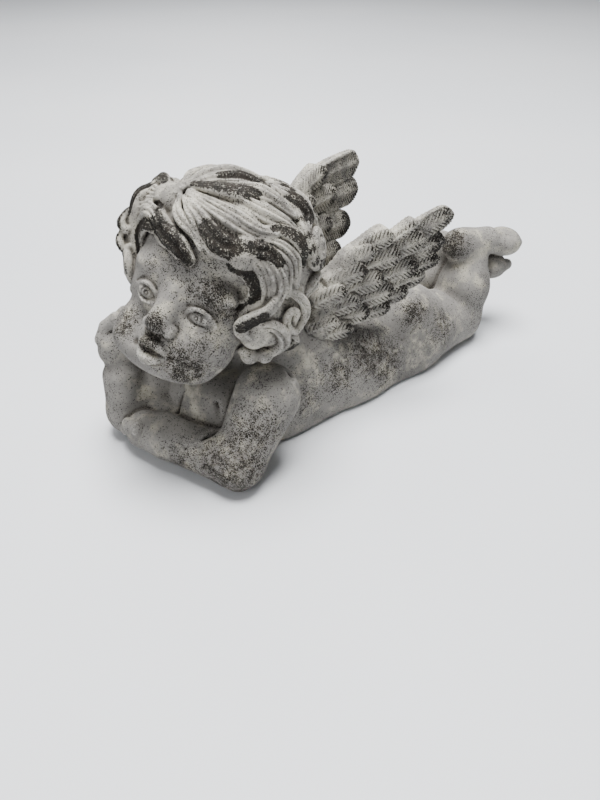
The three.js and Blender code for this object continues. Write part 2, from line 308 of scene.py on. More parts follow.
class Strand:
    """A form swept along a path, oval in section, with ridges running along its outer side."""

    def __init__(self, points, widths, heights, ups, ridges=0, depth=0.0):
        self.points = np.array(points, float)
        count = len(self.points)
        self.widths = np.broadcast_to(np.array(widths, float), count)
        self.heights = np.broadcast_to(np.array(heights, float), count)
        tangents = np.gradient(self.points, axis=0)
        tangents /= np.linalg.norm(tangents, axis=1)[:, None]
        ups = np.broadcast_to(np.array(ups, float), (count, 3))
        ups = ups - (ups * tangents).sum(1)[:, None] * tangents
        self.ups = ups / np.linalg.norm(ups, axis=1)[:, None]
        self.sides = np.cross(tangents, self.ups)
        self.tangents = tangents
        self.ridges = ridges
        self.depth = depth
        reach = np.maximum(self.widths, self.heights)[:, None]
        self.low = (self.points - reach).min(0)
        self.high = (self.points + reach).max(0)

    def distance(self, place):
        """The nearest segment's distance, each worked out only in the space around it."""
        out = np.full([len(axis.ravel()) for axis in place], FAR, np.float32)
        for k in range(len(self.points) - 1):
            reach = max(self.widths[k : k + 2].max(), self.heights[k : k + 2].max()) + SEGMENT_MARGIN
            ends = self.points[k : k + 2]
            spans, near = cut_out(place, ends.min(0) - reach, ends.max(0) + reach)
            if spans:
                out[spans] = np.minimum(out[spans], self.segment(k, near))
        return out

    def segment(self, k, place):
        a, b = self.points[k], self.points[k + 1]
        along = b - a
        away = offsets(place, a)
        share = np.clip(dot(along, away) / (along @ along), 0, 1)
        rest = [d - s * share for s, d in zip(along, away)]

        def part(axes):
            first, second = (dot(axis, rest) for axis in axes[k : k + 2])
            return first + (second - first) * share

        u, v, w = part(self.sides), part(self.ups), part(self.tangents)
        width = self.widths[k] + (self.widths[k + 1] - self.widths[k]) * share
        height = self.heights[k] + (self.heights[k + 1] - self.heights[k]) * share
        distance = ellipsoid_distance((u, v, w), (width, height, np.minimum(width, height)))
        if self.ridges:
            t = k + share
            end = np.clip(np.minimum(t, len(self.points) - 1 - t) / 2, 0, 1)
            valley = 0.5 + 0.5 * np.cos(math.pi * self.ridges * np.clip(u / width, -1, 1))
            distance = distance + self.depth * end * valley * np.clip(v / height + 0.6, 0, 1)
        return distance.astype(np.float32)


def through(points, count):
    """A smooth path through a few points."""
    points = np.array(points, float)
    padded = np.vstack([2 * points[0] - points[1], points, 2 * points[-1] - points[-2]])
    steps = np.linspace(0, len(points) - 1, count)
    path = []
    for s in steps:
        i = min(int(s), len(points) - 2)
        f = s - i
        p0, p1, p2, p3 = padded[i : i + 4]
        slope = (p2 - p0) * f
        bend = (2 * p0 - 5 * p1 + 4 * p2 - p3) * f * f
        twist = (3 * p1 - p0 - 3 * p2 + p3) * f ** 3
        path.append(0.5 * (2 * p1 + slope + bend + twist))
    return np.array(path)


# ---- head ----
FORWARD = vec(0, -math.cos(HEAD_TILT), math.sin(HEAD_TILT))
UPWARD = vec(0, math.sin(HEAD_TILT), math.cos(HEAD_TILT))
HEAD_AXES = np.array([vec(1, 0, 0), FORWARD, UPWARD])


def on_head(point):
    """From (to the figure's left, forward, up) to the figure's axes."""
    return SKULL + np.array(point, float) @ HEAD_AXES


def head_ball(centre, radii):
    return Ball(on_head(centre), radii, HEAD_AXES)


def mirrored(points, side):
    return [(side * x, forward, up) for x, forward, up in points]


# The face is turned towards the figure's left and tipped over to that side. Its right cheek rests on
# the right hand.
FACE_TURN, FACE_TILT, FACE_ROLL = (math.radians(angle) for angle in (21, 22, 12))
FACE_CENTRE = SKULL + (-2, 0.4, -3)


def face_axes():
    level = vec(math.sin(FACE_TURN), -math.cos(FACE_TURN), 0)
    side = vec(math.cos(FACE_TURN), math.sin(FACE_TURN), 0)
    forward = level * math.cos(FACE_TILT) + vec(0, 0, math.sin(FACE_TILT))
    up = vec(0, 0, math.cos(FACE_TILT)) - level * math.sin(FACE_TILT)
    rolled_side = side * math.cos(FACE_ROLL) - up * math.sin(FACE_ROLL)
    rolled_up = up * math.cos(FACE_ROLL) + side * math.sin(FACE_ROLL)
    return np.array([rolled_side, forward, rolled_up])


FACE_AXES = face_axes()


def on_face(point):
    """From (to the face's left, forward, up) to the figure's axes."""
    return FACE_CENTRE + np.array(point, float) @ FACE_AXES


def face_ball(centre, radii):
    return Ball(on_face(centre), radii, FACE_AXES)


def face_line(points, radius, count=13):
    path = through([on_face(p) for p in points], count)
    radii = np.interp(np.linspace(0, 1, count), np.linspace(0, 1, np.size(radius)), np.atleast_1d(radius))
    return Strand(path, radii, radii, FACE_AXES[1])


def model_face(clay):
    clay.add(face_ball((-3.5, 5.8, 3.2), (32.8, 31, 31)))
    clay.add(face_ball((-3.5, 5.9, -13.9), (38, 30.3, 28)), 5)
    clay.add(face_ball((0, 17.5, -18), (26, 20, 19)), 5)  # middle of the face, across the eyes
    clay.add(face_ball((-3.5, 24.9, -45.1), (27, 16.5, 11)), 5)  # jaw
    clay.add(face_ball((12.4, 22.1, -33.1), (16.7, 16.7, 16.7)), 5)  # left cheek
    clay.add(face_ball((-18.5, 21.1, -38.6), (13.7, 13.7, 13.7)), 6)  # right cheek, on the hand
    clay.add(face_ball((-1, 33.5, -36), (11, 8.5, 9)), 5)  # muzzle
    for side in (-1, 1):
        clay.add(face_ball((side * 15.5, 28.6, -6.6), (12, 6.4, 4.6)), 5)  # brow
    model_eyes(clay)
    model_nose(clay)
    model_mouth(clay)


def model_eyes(clay):
    for side in (-1, 1):
        clay.carve(face_ball((side * 14.8, 41, -17.8), (9, 6.2, 5)), 3.5)
        clay.add(face_ball((side * 14.4, 28.4, -18.2), (7.6, 8.3, 4.3)), 0.6)
        upper = [(7.2, 34.6, -20), (10, 35.8, -16.2), (14.6, 36.2, -14), (19, 34, -15.4), (22.6, 30.8, -19.4)]
        clay.add(face_line(mirrored(upper, side), (0.5, 0.9, 1.0, 0.9, 0.5)), 0.7)
        lower = [(7.4, 34.6, -20.2), (10.5, 35.6, -22), (14.6, 35.6, -22.7), (18.6, 33.8, -21.8),
                 (22.4, 30.8, -19.8)]
        clay.add(face_line(mirrored(lower, side), (0.4, 0.6, 0.7, 0.6, 0.4)), 0.8)
        crease = [(7.8, 36, -14.6), (14.6, 36.8, -11.8), (20, 34, -13.2), (24, 31, -16.6)]
        clay.carve(face_line(mirrored(crease, side), (0.3, 0.8, 0.8, 0.3)), 1.2)
        for radius in (2.8, 1.0):
            ring(clay, (side * 14.2, 36.3, -18.4), radius)


def ring(clay, centre, radius):
    """A groove round a centre on the front of the eye."""
    x, forward, up = centre
    lean = 0.12 * np.sign(x)
    path = []
    for angle in np.linspace(0, 2 * math.pi, 15):
        across = radius * math.cos(angle)
        path.append(on_face((x + across, forward - lean * across - 0.2, up + radius * math.sin(angle))))
    clay.carve(Strand(path, 0.5, 0.8, FACE_AXES[1]), 0.2)


def model_nose(clay):
    clay.add(Limb(on_face((0, 36, -12)), on_face((0, 40.5, -23)), 3.8, 5.4), 5)
    clay.add(face_ball((0, 42.4, -26.4), (5.6, 4.8, 4.6)), 2.5)
    for side in (-1, 1):
        clay.add(face_ball((side * 5.2, 39.8, -28.2), (3.3, 4, 3.1)), 1.5)
        clay.carve(face_ball((side * 3, 42.4, -31.4), (1.6, 1.9, 1.5)), 0.8)
    clay.carve(face_line([(0, 43.5, -32), (0, 44, -35)], (1.0, 1.3), count=5), 2.0)


def model_mouth(clay):
    clay.carve(face_ball((0, 48, -40), (9.5, 5.4, 3.4)), 2.5)
    upper = [(-7.5, 39.5, -40.4), (-5, 42, -37.6), (-2, 43.6, -36), (0, 43.4, -36.8), (2, 43.6, -36),
             (5, 42, -37.6), (7.5, 39.5, -40.4)]
    clay.add(face_line(upper, (0.7, 1.7, 2.1, 1.9, 2.1, 1.7, 0.7), count=17), 1.3)
    lower = [(-6.5, 40, -41.4), (-4, 42, -43.2), (0, 43, -44), (4, 42, -43.2), (6.5, 40, -41.4)]
    clay.add(face_line(lower, (0.8, 2.1, 2.8, 2.1, 0.8), count=15), 1.2)
    slit = [(-7, 40.6, -40.4), (-3.5, 43.6, -40), (0, 45, -40.4), (3.5, 43.6, -40), (7, 40.6, -40.4)]
    clay.carve(face_line(slit, (0.5, 1.3, 1.7, 1.3, 0.5)), 0.6)
    for side in (-1, 1):
        clay.carve(face_ball((side * 10, 40.6, -40.4), (1.6, 2, 1.6)), 2.0)


# ---- hair: a cap with locks on it ----
CAP_CENTRE = vec(0, -6, 8)
CAP_RADII = vec(39.5, 37.5, 30)
CROWN_START = 20  # above this height on the head,
CROWN_DROP = 0.17  # the crown is flatter than the locks' points by this share
LOCK_HEIGHT = 0.7  # of a lock's width


def on_cap(points, lift):
    """Raise the points that are lower than this above the cap."""
    away = points - CAP_CENTRE
    size = np.linalg.norm(away, axis=1)
    surface = size / np.linalg.norm(away / CAP_RADII, axis=1)
    scale = np.maximum(size, surface + lift) / size
    return CAP_CENTRE + away * scale[:, None]


def cap_normal(points):
    normal = (points - CAP_CENTRE) / CAP_RADII ** 2
    return normal / np.linalg.norm(normal, axis=1)[:, None]


def taper(count, root, middle, tip, belly=0.45):
    return np.interp(np.linspace(0, 1, count), (0, belly, 1), (root, middle, tip))


STROKES = []  # where dark paint was brushed on: place, direction outward, radius


def hair_strand(path, normals, widths, height, ridges, depth, dark):
    """A lock from its path on the head. `dark` is the stretch of it, of 0 to 1, that is painted."""
    world = np.array([on_head(p) for p in path])
    ups = normals @ HEAD_AXES
    if dark:
        first, last = (int(share * (len(path) - 1)) for share in dark)
        for i in range(first, last + 1):
            STROKES.append((world[i], ups[i], 1.05 * widths[i] + 0.3))
    return Strand(world, widths, np.maximum(widths * height, 1.3), ups, ridges, depth)


def lock(points, width, ridges=3, lift=2.0, root=0.4, tip=0.35, belly=0.5, depth=0.9, dark=None):
    """A lock of hair along a few chosen points on the head."""
    count = 4 * len(points)
    low = np.array(points, float)
    low[:, 2] -= CROWN_DROP * np.clip(low[:, 2] - CROWN_START, 0, None)
    path = on_cap(through(low, count), lift)
    widths = width * taper(count, root, 1, tip, belly)
    return hair_strand(path, cap_normal(path), widths, LOCK_HEIGHT, ridges, depth, dark)


def tress(points, width, **shape):
    """A lock's measures, kept so that it can be modelled on either side of the head."""
    return dict(points=points, width=width, **shape)


def cap_point(azimuth, elevation):
    """The place on the cap that many degrees round from the front and up from the middle."""
    a, e = math.radians(azimuth), math.radians(elevation)
    aim = vec(math.sin(a) * math.cos(e), math.cos(a) * math.cos(e), math.sin(e))
    return CAP_CENTRE + aim / np.linalg.norm(aim / CAP_RADII)


def snail_curl(azimuth, elevation, radius, sense, dark=None):
    """A lock that comes down from above and winds itself up into a flat curl."""
    middle = cap_point(azimuth, elevation)
    normal = cap_normal(middle[None])[0]
    east = np.cross(normal, vec(0, 0, 1))
    east /= np.linalg.norm(east)
    north = np.cross(east, normal)
    flat = [(sense * 0.5, 2.4), (sense * 0.95, 1.4), (sense * 1.05, 0.6)]
    turns = 1.7
    for t in np.linspace(0, 1, 17):
        angle = 2 * math.pi * turns * t
        reach = 1 - 0.8 * t
        flat.append((sense * reach * math.cos(angle), -reach * math.sin(angle)))
    path = np.array([middle + radius * (x * east + y * north) for x, y in flat])
    rise = np.linspace(1.2, 4.2, len(path))
    surface = (path - CAP_CENTRE) / np.linalg.norm((path - CAP_CENTRE) / CAP_RADII, axis=1)[:, None]
    path = CAP_CENTRE + surface
    path = path + cap_normal(path) * rise[:, None]
    widths = radius * np.interp(np.linspace(0, 1, len(path)), (0, 0.3, 1), (0.32, 0.33, 0.2))
    return hair_strand(path, cap_normal(path), widths, 0.9, 2, 0.6, dark)


BROW_LOCKS = [
    # far side of the parting: a broad lock that arches over and curls in towards the brow
    tress([(-9, 24, 33), (-25, 20, 32), (-30, 26, 26), (-32, 31, 20), (-31, 33, 13), (-28, 31, 9)],
          width=5.6, lift=2.6, dark=(0.45, 0.97)),
    tress([(-8, 26, 30), (-21, 25, 26), (-26, 29, 20), (-26, 31, 14)], width=4.2, ridges=2, lift=1.2),
    tress([(-30, 32, 18), (-33, 36, 13), (-33, 38, 8), (-30, 37, 6), (-29, 34, 9)],
          width=3.6, ridges=2, dark=(0.2, 0.6)),
    tress([(-31, 35, 8), (-33, 38, 2), (-30, 38, -3), (-27, 36, -1)], width=3.4, ridges=2, dark=(0.3, 0.7)),
    tress([(-30, 33, 0), (-31, 35, -6), (-28, 34, -10)], width=3.2, ridges=2),
    # fringe: an S from the parting, its dark tip lying on the forehead
    tress([(-13, 26, 31), (-18, 28, 22), (-15, 32, 15), (-6, 35, 10), (3, 36, 8), (9, 35, 5)],
          width=3.0, ridges=1, lift=1.6),
    tress([(-10, 26, 31), (-15, 29, 23), (-11, 33, 17), (-2, 34, 13), (8, 34, 10), (14, 32, 5)],
          width=5.8, ridges=2, lift=2.8, belly=0.68, tip=0.55, dark=(0.2, 1)),
    tress([(-6, 27, 30), (-3, 30, 24), (4, 31, 20), (12, 31, 17), (18, 30, 12)],
          width=3.6, ridges=2, lift=3.4),
    tress([(-3, 27, 30), (5, 30, 26), (12, 30, 22), (17, 29, 17), (22, 28, 13)],
          width=3.2, ridges=2, lift=2.2),
    # swept from the parting to the temple, where it hooks down
    tress([(8, 29, 24), (16, 30, 18), (24, 28, 13), (31, 22, 12), (37, 13, 12)],
          width=2.8, ridges=1, lift=1.8),
    tress([(2, 28, 29), (12, 28, 25), (20, 28, 20), (26, 25, 16), (32, 19, 16), (38, 11, 17), (41, 6, 13)],
          width=6.2, ridges=2, lift=3.2, belly=0.48, tip=0.5, dark=(0.32, 1)),
    tress([(-3, 25, 32), (13, 25, 29), (23, 22, 26), (30, 17, 23), (36, 10, 21)], width=4.6, lift=2.8),
    tress([(-4, 24, 33), (13, 22, 32), (25, 18, 29), (32, 13, 26), (37, 6, 25)], width=4.6, lift=2.5),
    # crown: a rounded dark lock, and the long ones behind it
    tress([(-7, 21, 36), (3, 20, 38), (12, 17, 39), (18, 12, 39), (20, 8, 39)],
          width=5.4, ridges=1, lift=3.4, depth=0.5, belly=0.7, tip=0.8, dark=(0.1, 1)),
    tress([(-8, 22, 35), (-4, 15, 40), (1, 7, 43), (7, 1, 44), (14, -4, 42), (19, -6, 40)],
          width=5.2, lift=2.4, dark=(0.35, 0.8)),
    tress([(-10, 21, 35), (-11, 11, 41), (-8, 0, 44), (-2, -9, 44), (6, -16, 41)], width=5.8, lift=1.6),
    tress([(-12, 21, 34), (-19, 12, 38), (-20, 0, 40), (-15, -12, 39), (-8, -21, 36)], width=6.2, lift=1.6),
    tress([(4, 17, 39), (13, 10, 41), (20, 4, 41), (26, -3, 38), (31, -9, 33)], width=5.6, lift=1.8),
    tress([(12, 18, 37), (21, 13, 36), (29, 7, 33), (34, -1, 30), (37, -9, 25)], width=5.4, lift=1.7),
    tress([(3, -10, 44), (9, -18, 43), (14, -20, 39), (16, -16, 41), (13, -13, 43)],
          width=3.6, ridges=2, lift=3, dark=(0.2, 0.6)),
    tress([(16, -6, 42), (15, -15, 41), (20, -18, 37), (26, -15, 36)], width=3.8, ridges=2, lift=3),
]
TEMPLE_LOCKS = [
    # arch behind the temple
    tress([(33, 10, 26), (37, 3, 27), (41, -3, 24), (43, -7, 17), (42, -7, 12)],
          width=4.0, ridges=1, lift=4.4, dark=(0.15, 1)),
    tress([(34, 12, 22), (39, 4, 20), (42, -2, 15), (43, -5, 8), (42, -8, 2)], width=4.6, lift=2.6),
    tress([(34, 14, 20), (39, 8, 17), (42, 2, 12), (43, -1, 4), (41, -4, -3)], width=3.8, ridges=2, lift=2.2),
    # round curl beside the ear, and the bands that wrap it
    tress([(30, 22, 8), (35, 17, 6), (37, 12, -1), (34, 12, -8), (30, 16, -10)],
          width=3.4, ridges=1, lift=1.8, root=0.8, tip=0.7, dark=(0, 1)),
    tress([(28, 24, 11), (33, 20, 13), (38, 14, 10), (40, 9, 1), (38, 8, -8), (33, 11, -13), (29, 16, -13)],
          width=3.2, ridges=2, lift=2.6, root=0.7),
    tress([(33, 19, 16), (38, 13, 14), (42, 8, 8), (42, 5, 0), (39, 6, -7), (35, 9, -12)],
          width=3.4, ridges=2, lift=3),
    tress([(37, 13, 16), (42, 7, 11), (44, 3, 3), (42, 3, -5), (38, 5, -12)], width=3.4, ridges=2, lift=3.4),
    # S beside the jaw, the loop under it, and the flat curl behind
    tress([(41, 0, 3), (43, 3, -3), (43, 8, -9), (40, 13, -13), (37, 16, -17), (36, 14, -22), (38, 9, -24),
           (40, 7, -21)],
          width=4.0, ridges=1, lift=3, root=0.7, tip=0.6, dark=(0.35, 0.6)),
    tress([(40, 9, -16), (43, 3, -16), (43, -5, -21), (40, -9, -28), (36, -5, -34), (32, 1, -36),
           (30, 6, -34)],
          width=4.2, ridges=2, lift=3, root=0.7, tip=0.7),
    tress([(34, 7, -28), (38, 5, -25), (41, 3, -19)], width=3.2, ridges=2, lift=2),
    tress([(41, -4, 0), (43, -10, -3), (43, -16, -8), (41, -19, -15), (41, -15, -21), (42, -9, -20),
           (43, -5, -15), (43, -7, -10), (43, -11, -11), (43, -11, -14)],
          width=3.3, ridges=2, lift=3, root=0.8, tip=0.6),
    tress([(40, -8, -22), (40, -14, -24), (40, -17, -28), (38, -13, -31), (37, -8, -30)],
          width=3.4, ridges=2, lift=2, root=0.8, tip=0.7, dark=(0.5, 1)),
]
EAR_BULBS = [((31, 2, -36), 4.4), ((35, -4, -35), 4.0)]
CURL_ROWS = [
    # elevation, first and last azimuth, how many, radius
    (14, 118, 268, 5, 9.5),
    (-14, 124, 262, 5, 9.0),
    (-40, 108, 270, 6, 8.5),
]


def other_side(point):
    """The mirror image of a point of the head across the middle of the face."""
    away = on_head(point) - FACE_CENTRE
    flipped = FACE_CENTRE + away - 2 * (away @ FACE_AXES[0]) * FACE_AXES[0]
    return HEAD_AXES @ (flipped - SKULL)


def swept_locks():
    """Waved locks from the crown down the back of the head."""
    for i, azimuth in enumerate(np.linspace(112, 300, 9)):
        dark = (0.5, 0.85) if i % 3 == 0 else None
        sway = 9 if i % 2 else -9
        heights = (74, 62, 50, 38, 27)
        points = [cap_point(azimuth + sway * math.sin(1.7 * k), e) for k, e in enumerate(heights)]
        yield lock(points, width=7.2, lift=1.6 + 0.8 * (i % 2), dark=dark)


def curl_rows():
    for row, (elevation, first, last, count, radius) in enumerate(CURL_ROWS):
        for i, azimuth in enumerate(np.linspace(first, last, count)):
            sense = 1 if (i + row) % 2 else -1
            place = azimuth + (-5 if row == 1 else 5) * (i % 2)
            yield place, elevation, radius, sense, (0.1, 0.45) if (i + row) % 3 == 0 else None


def model_hair(clay):
    clay.add(Ball(on_head(CAP_CENTRE), CAP_RADII - 0.3, HEAD_AXES))
    clay.add(head_ball((0, -12, -11), (39, 29, 27)), 8)
    clay.add(head_ball((29, 15, 13), (9.5, 10, 10)), 5)
    clay.add(head_ball((-29, 28, 11), (6.5, 8, 13)), 4)
    clay.add(head_ball((-31, 32, 9), (3.5, 4, 9)), 2)
    clay.add(head_ball((-16, 22, 23), (11, 10, 9)), 4)
    for place in (np.array, other_side):
        clay.add(head_ball(place((34, 4, -14)), (9, 11, 17)), 5)
        clay.add(head_ball(place((35, -9, -19)), (7.5, 11, 12)), 4)
    for strand in swept_locks():
        clay.add(strand, 0.6)
    for azimuth, elevation, radius, sense, dark in curl_rows():
        middle = cap_point(azimuth, elevation)
        normal = cap_normal(middle[None])[0]
        clay.add(head_ball(middle - normal * 0.3 * radius, [0.82 * radius] * 3), 2)
        clay.add(snail_curl(azimuth, elevation, radius, sense, dark), 0.5)
    for place in (np.array, other_side):
        for spec in TEMPLE_LOCKS:
            clay.add(lock(**{**spec, "points": [place(p) for p in spec["points"]]}), 0.6)
        for middle, radius in EAR_BULBS:
            clay.add(head_ball(place(middle), [radius] * 3), 0.8)
    for spec in BROW_LOCKS:
        clay.add(lock(**spec), 0.6)


# ---- trunk, arms and legs ----
def model_trunk(clay):
    clay.add(Ball((0, -61, 14), (34, 51, 41)))
    clay.add(Ball((0, -10, 12), (38, 56, 35)), 14)
    clay.add(Ball((0, 32, 11), (39, 35, 37)), 14)
    clay.add(Ball((0, -50, 42), (25, 25, 14)), 10)
    clay.add(Ball((-3, -101, 19), (30, 22, 27)), 8)  # the breast
    clay.add(Ball((-14, -121, 15), (16, 11, 11)), 3)  # where it rests against the forearm
    clay.add(Limb((0, -62, 42), (0, -78, 74), 20, 23), 8)
    for side in (-1, 1):
        clay.add(Ball((side * 17.5, 33, 31), (20, 24, 20)), 5)
    cleft = through([(0, 14, 52), (0, 24, 52), (0, 42, 51), (0, 57, 44), (0, 62, 34)], 12)
    clay.carve(Strand(cleft, taper(12, 0.6, 2.2, 1.6), taper(12, 1.5, 6, 5), vec(0, 0, 1)), 4)
    spine = through([(0, -48, 59), (0, -25, 51), (0, 0, 49), (0, 12, 51)], 10)
    clay.carve(Strand(spine, 2.5, 1.2, vec(0, 0, 1)), 8)


def model_arms(clay):
    right = Clay.like(clay)
    right.add(Limb(RIGHT_SHOULDER, RIGHT_ELBOW, 16, 13.2))
    right.add(Limb(RIGHT_ELBOW, RIGHT_WRIST, 13.3, 10), 4)
    right.add(Ball(RIGHT_PALM, (8.5, 12.5, 12)), 4)
    right_fingers(right)
    clay.join(right, 4)
    left = Clay.like(clay)
    left.add(Limb(LEFT_SHOULDER, LEFT_ELBOW, 17, 13.1))
    left.add(Limb(LEFT_ELBOW, LEFT_WRIST, 13.4, 12), 4)
    left.add(Limb(LEFT_WRIST, LEFT_KNUCKLES, 12, 10.5), 3)
    left_fingers(left)
    clay.join(left, 1.6)
    for points, width, depth, blend in SKIN_CREASES:
        path = through(points, 5 * len(points))
        clay.carve(Strand(path, width * taper(len(path), 0.5, 1, 0.5), depth, vec(0, -0.5, 0.85)), blend)


SKIN_CREASES = [
    # points, half-width, depth, how soft its edges are
    # inside of the elbow
    ([(16, -112, 36), (22, -116, 30), (24, -122, 25), (22, -128, 21), (18, -133, 18)], 0.9, 2.2, 2.5),
    ([(45, -89, 43), (36, -80, 54), (24, -76, 58)], 0.7, 1.2, 3),  # behind the shoulder
    ([(12, -119, 46), (20, -112, 44), (27, -106, 40), (30, -102, 32)], 0.7, 1.6, 2),  # armpit
    ([(-3, -120, 40), (-4, -121, 30), (-4, -121, 22)], 0.7, 1.6, 2.5),  # down the breast
    ([(38, 12, 30), (36, 8, 38), (30, 6, 46), (20, 8, 52)], 0.8, 1.4, 4),  # above the buttock
    ([(38, 60, 14), (36, 58, 26), (28, 58, 36), (16, 60, 40)], 0.9, 2.4, 3.5),  # under the buttock
    ([(38, 84, 30), (32, 78, 34), (22, 76, 35), (10, 78, 33)], 0.9, 2.0, 2.5),  # back of the knee
    ([(-38, 60, 14), (-36, 58, 26), (-28, 58, 36), (-16, 60, 40)], 0.9, 2.4, 3.5),
    ([(-36, 82, 30), (-30, 76, 34), (-22, 74, 35), (-8, 76, 33)], 0.9, 2.0, 2.5),
    ([(32, 98, 52), (30, 90, 54), (22, 84, 52)], 0.7, 1.4, 2),  # ankle
]


def right_fingers(clay):
    for i in range(4):
        root = RIGHT_PALM + (-2.5, -8 + 5.0 * i, 6 - 0.6 * i)
        tip = RIGHT_PALM + (2.5, -1 + 5.4 * i, 20 - 1.5 * abs(i - 1.3))
        middle = (root + tip) / 2 + (-2.5, 0, 0)
        clay.add(Limb(root, middle, 4.0, 3.8), 1.0)
        clay.add(Limb(middle, tip, 3.8, 3.3), 0.8)


def left_fingers(clay):
    for i in range(4):
        knuckle = LEFT_KNUCKLES + (-3, -7 + 4.6 * i, 4.5 - 0.8 * abs(i - 1.2))
        clay.add(Limb(knuckle, knuckle + (-6, 0.5, -5), 3.8, 3.3), 0.8)
    clay.add(Limb(LEFT_KNUCKLES + (4, -6, 6), LEFT_KNUCKLES + (-6, -6.5, 4), 4.2, 3.4), 0.9)


def model_legs(clay):
    clay.add(Limb(LEFT_HIP, LEFT_KNEE, 23.5, 18.5), 8)
    clay.add(Limb(RIGHT_HIP, RIGHT_KNEE, 23.5, 18.5), 8)
    for knee, ankle, heel, toes in (
        (RIGHT_KNEE, RIGHT_ANKLE, RIGHT_HEEL, RIGHT_TOES),
        (LEFT_KNEE, LEFT_ANKLE, LEFT_HEEL, LEFT_TOES),
    ):
        leg = Clay.like(clay)
        calf = knee + (ankle - knee) * 0.45 + (2, 0, 2)
        middle = heel + (toes - heel) * 0.6 + (0, 0, 1)
        leg.add(Limb(knee, calf, 18, 16))
        leg.add(Limb(calf, ankle, 16, 11), 5)
        leg.add(Ball(heel + (1, 3, -1), (10.5, 11, 10)), 6)
        leg.add(Limb(heel, middle, 9.5, 9), 4)
        leg.add(Ball(toes - (0, 2.5, 0), (12.5, 11, 9)), 4)
        model_toes(leg, toes, 1 if knee is LEFT_KNEE else -1)
        clay.join(leg, 2.5)


def model_toes(clay, toes, side):
    for i in range(5):
        place = toes + (side * (i - 2) * 4.4, 6.4 - 1.3 * abs(i - 0.8), 0.5)
        size = 4.0 if i == 0 else 3.3 - 0.12 * i
        clay.add(Limb(place - (0, 4, 0), place, size, size * 0.95), 0.8)


def model_body():
    low = (CAD_LOW - to_frame((0, 0, 0))) / MM
    high = (CAD_HIGH - to_frame((0, 0, 0))) / MM
    clay = Clay(vec(*low) - 3, vec(*high) + 3, BODY_STEP)
    model_trunk(clay)
    model_arms(clay)
    model_legs(clay)
    face = Clay.like(clay)
    model_face(face)
    clay.join(face, 2.5)
    hair = Clay.like(clay)
    model_hair(hair)
    skin = clay.field.copy()
    clay.join(hair, 0.8)
    floor = np.float32(UNDERSIDE) - clay.axes[2][None, None, :]
    clay.field = np.maximum(clay.field, floor)
    return clay, skin, hair.field


# ---- wings ----
WING_ROOT = vec(16, -40, 54)  # of the left wing; the right one's is its mirror image
WING_SPREAD = 0.26  # how far a blade goes outward for each millimetre it runs back
WING_LEAN = 0.03  # and for each millimetre it rises
WING_MARGIN = 12  # room for the feathers' outlines round the points that are given
WING_DEPTH = 13  # room to either side of the middle of the blade
ARM_STEPS = 20  # points along the path of the arm
BARB_PITCH = 2.5  # mm along the feather from one barb to the next
BARB_DEPTH = 1.0
# Feathers from the lowest layer to the highest, in each wing's flat axes: where each starts, its
# tip, half its width, and how far its top is from the middle of the blade. The arm is the thick
# front edge that they grow from.
LEFT_ARM = [(-4, -9), (1, 6), (7, 22), (16, 35), (28, 40)]
LEFT_FEATHERS = [
    ((34, 36), (59, 48), 3.6, 3.4),
    ((36, 32), (83, 48), 7.6, 1.6),
    ((30, 24), (80, 33), 7.5, 0.8),
    ((36, 14), (78, 22), 5.5, 1.8),
    ((28, 8), (69, 14), 7.0, 1.4),
    ((24, 2), (58, 6), 6.5, 1.9),
    ((14, -3), (46, -1), 6.0, 2.4),
    ((26, 30), (64, 38), 7.2, 3.4),
    ((28, 18), (62, 22), 7.2, 3.2),
    ((20, 38), (42, 45), 6.2, 4.2),
    ((20, 28), (48, 32), 6.6, 5.0),
    ((18, 8), (46, 11), 7.6, 4.4),
    ((12, 34), (31, 39), 5.6, 5.6),
    ((12, 18), (37, 21), 7.4, 6.2),
    ((6, 2), (30, 1), 7.0, 5.2),
    ((2, 24), (25, 30), 6.2, 7.4),
    ((-2, 8), (22, 12), 6.6, 7.8),
    ((-8, -6), (18, -4), 6.4, 8.0),
    ((-6, 16), (12, 22), 5.4, 8.8),
    ((-10, 0), (8, 4), 5.4, 9.2),
]
RIGHT_ARM = [(-4, -8), (2, 12), (8, 34), (16, 52), (28, 61)]
RIGHT_FEATHERS = [
    ((24, 58), (90, 56), 8.5, 0.8),
    ((22, 44), (88, 40), 9.6, 1.6),
    ((18, 30), (78, 21), 9.4, 2.2),
    ((12, 14), (66, 7), 8.6, 2.8),
    ((8, 2), (52, -3), 7.0, 3.2),
    ((18, 46), (58, 46), 8.0, 3.8),
    ((14, 32), (52, 30), 8.2, 4.4),
    ((10, 16), (44, 13), 7.6, 4.8),
    ((16, 56), (46, 63), 6.4, 4.4),
    ((10, 34), (34, 40), 7.0, 5.8),
    ((4, 14), (28, 18), 7.0, 6.0),
    ((6, 44), (30, 52), 6.4, 6.6),
    ((0, 26), (24, 32), 6.6, 7.4),
    ((-4, 6), (20, 10), 6.6, 8.0),
    ((-6, 16), (12, 22), 5.4, 8.8),
]
WINGS = {"wing_left": (1, LEFT_ARM, LEFT_FEATHERS), "wing_right": (-1, RIGHT_ARM, RIGHT_FEATHERS)}


